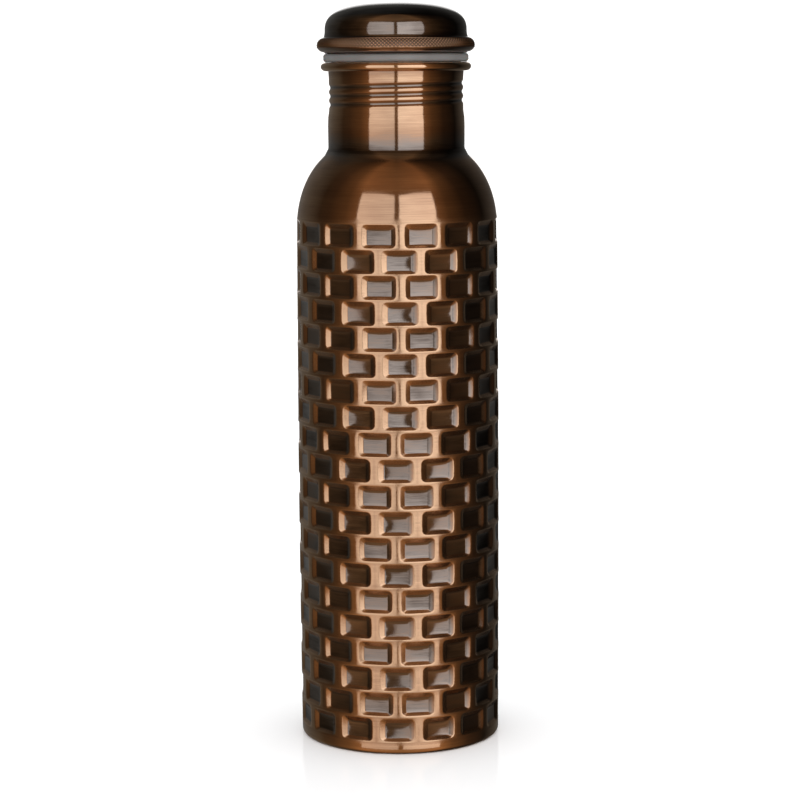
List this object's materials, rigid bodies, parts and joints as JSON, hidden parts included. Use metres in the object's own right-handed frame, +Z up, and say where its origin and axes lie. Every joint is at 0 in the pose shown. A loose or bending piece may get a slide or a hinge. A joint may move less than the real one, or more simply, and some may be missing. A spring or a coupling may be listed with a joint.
{
  "type": "water bottle",
  "caption": "Tall cylindrical metal bottle with a wall embossed in staggered bricks, a rounded shoulder, a short threaded neck and a domed screw cap on a soft gasket.",
  "frame": {"origin": "middle of the foot, on the surface that the bottle stands on", "axes": "+Z up along the bottle's axis"},
  "size_m": [0.072, 0.072, 0.262],
  "materials": {
    "copper_body": "antiqued, buffed on the raised lattice",
    "copper_base": "satin",
    "silicone": "matte",
    "copper_plug": "satin",
    "copper_cap": "antiqued, lathe-brushed"
  },
  "bodies": {
    "bottle": {"body_shell": "copper_body", "base_disc": "copper_base"},
    "seal": {"gasket": "silicone"},
    "cap": {"cap_plug": "copper_plug", "cap_dome": "copper_cap"}
  },
  "joints": [
    {"name": "cap_lift", "type": "slide", "parent": "bottle", "child": "seal", "axis": [0, 0, 1], "range_m": [0, 0.018]},
    {"name": "cap_turn", "type": "hinge", "parent": "seal", "child": "cap", "pos_m": [0, 0, 0.2411], "axis": [0, 0, 1], "range_deg": [0, 2160]}
  ],
  "couplings": [
    {"joint": "cap_lift", "follows": "cap_turn", "m_per_rad": 0.00047746}
  ]
}
